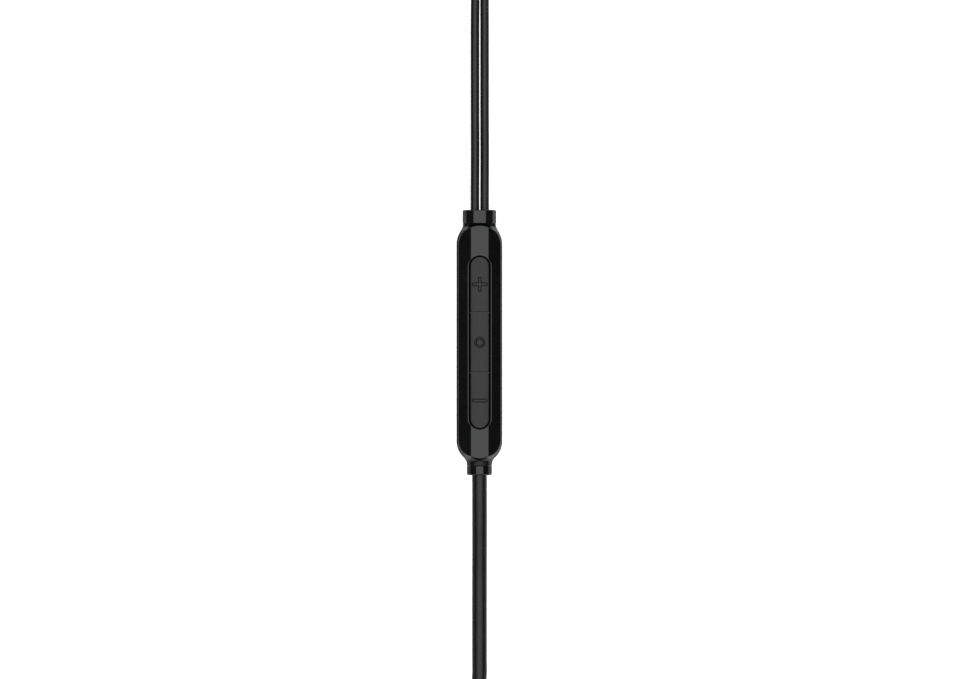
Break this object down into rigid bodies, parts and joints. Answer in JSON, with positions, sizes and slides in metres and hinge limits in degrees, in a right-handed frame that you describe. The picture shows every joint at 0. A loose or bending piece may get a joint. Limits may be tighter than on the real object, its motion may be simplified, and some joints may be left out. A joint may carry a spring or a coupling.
{
  "type": "wired earphones",
  "caption": "Wired in-ear earphones with an in-line remote of pressable keys, cords put away in tied hanks, and a jack plug.",
  "frame": {"origin": "middle of the remote's flat rear face, on the surface that everything lies on", "axes": "+Z out of the remote's front, +Y along the cords towards the earbuds, -Y towards the jack plug, +X to the right when looking at the keys with the volume-up key at the top"},
  "size_m": [0.0301, 0.2507, 0.012],
  "materials": {
    "shell_gloss": "glossy black, faceted",
    "key_satin": "satin black with fine grain",
    "mat_rubber": "matt silicone",
    "board": "green solder mask",
    "dome_steel": "stamped steel",
    "chip": "moulded epoxy",
    "mic_can": "gold flashed can",
    "gland_gloss": "glossy black",
    "crimp_brass": "plain brass",
    "wire_copper": "enamelled copper",
    "cord_jacket": "satin black jacket",
    "tie_rubber": "matt black",
    "plug_rubber": "satin black",
    "plug_insulator": "black nylon",
    "contact_gold": "gold plated",
    "bud_relief": "satin black",
    "bud_shell": "glossy black",
    "bud_front": "glossy black",
    "driver_steel": "plated steel",
    "diaphragm_film": "thin film",
    "mesh_steel": "woven mesh",
    "tip_silicone": "soft satin silicone"
  },
  "bodies": {
    "base": {"front_cover": "shell_gloss", "rear_cover": "shell_gloss", "key_mat": "mat_rubber", "circuit_board": "board", "up_dome": "dome_steel", "call_dome": "dome_steel", "down_dome": "dome_steel", "control_chip": "chip", "microphone": "mic_can", "microphone_gasket": "mat_rubber", "upper_gland": "gland_gloss", "lower_gland": "gland_gloss", "upper_crimp": "crimp_brass", "lower_crimp": "crimp_brass", "upper_wires": "wire_copper", "lower_wires": "wire_copper", "left_cord": "cord_jacket", "right_cord": "cord_jacket", "upper_hank": "cord_jacket", "left_tail": "cord_jacket", "right_tail": "cord_jacket", "upper_tie": "tie_rubber", "lower_cord": "cord_jacket", "lower_hank": "cord_jacket", "lower_tail": "cord_jacket", "lower_tie": "tie_rubber", "plug_relief": "plug_rubber", "plug_grip": "plug_rubber", "plug_core": "plug_insulator", "plug_sleeve": "contact_gold", "plug_ring_b": "contact_gold", "plug_ring_a": "contact_gold", "plug_tip": "contact_gold", "left_relief": "bud_relief", "left_rear_shell": "bud_shell", "left_front_shell": "bud_front", "left_knot": "crimp_brass", "left_driver_frame": "driver_steel", "left_magnet": "driver_steel", "left_diaphragm": "diaphragm_film", "left_mesh": "mesh_steel", "right_relief": "bud_relief", "right_rear_shell": "bud_shell", "right_front_shell": "bud_front", "right_knot": "crimp_brass", "right_driver_frame": "driver_steel", "right_magnet": "driver_steel", "right_diaphragm": "diaphragm_film", "right_mesh": "mesh_steel"},
    "volume_up": {"volume_up_key": "key_satin"},
    "call": {"call_key": "key_satin"},
    "volume_down": {"volume_down_key": "key_satin"},
    "left_tip": {"left_ear_tip": "tip_silicone"},
    "right_tip": {"right_ear_tip": "tip_silicone"}
  },
  "joints": [
    {"name": "volume_up_press", "type": "slide", "parent": "base", "child": "volume_up", "axis": [0, 0, -1], "range_m": [0, 0.00025], "stiffness_N_per_m": 1200},
    {"name": "call_press", "type": "slide", "parent": "base", "child": "call", "axis": [0, 0, -1], "range_m": [0, 0.00025], "stiffness_N_per_m": 1200},
    {"name": "volume_down_press", "type": "slide", "parent": "base", "child": "volume_down", "axis": [0, 0, -1], "range_m": [0, 0.00025], "stiffness_N_per_m": 1200},
    {"name": "left_tip_pull_off", "type": "slide", "parent": "base", "child": "left_tip", "axis": [0, 1, 0], "range_m": [0, 0.006]},
    {"name": "right_tip_pull_off", "type": "slide", "parent": "base", "child": "right_tip", "axis": [0, 1, 0], "range_m": [0, 0.006]}
  ]
}
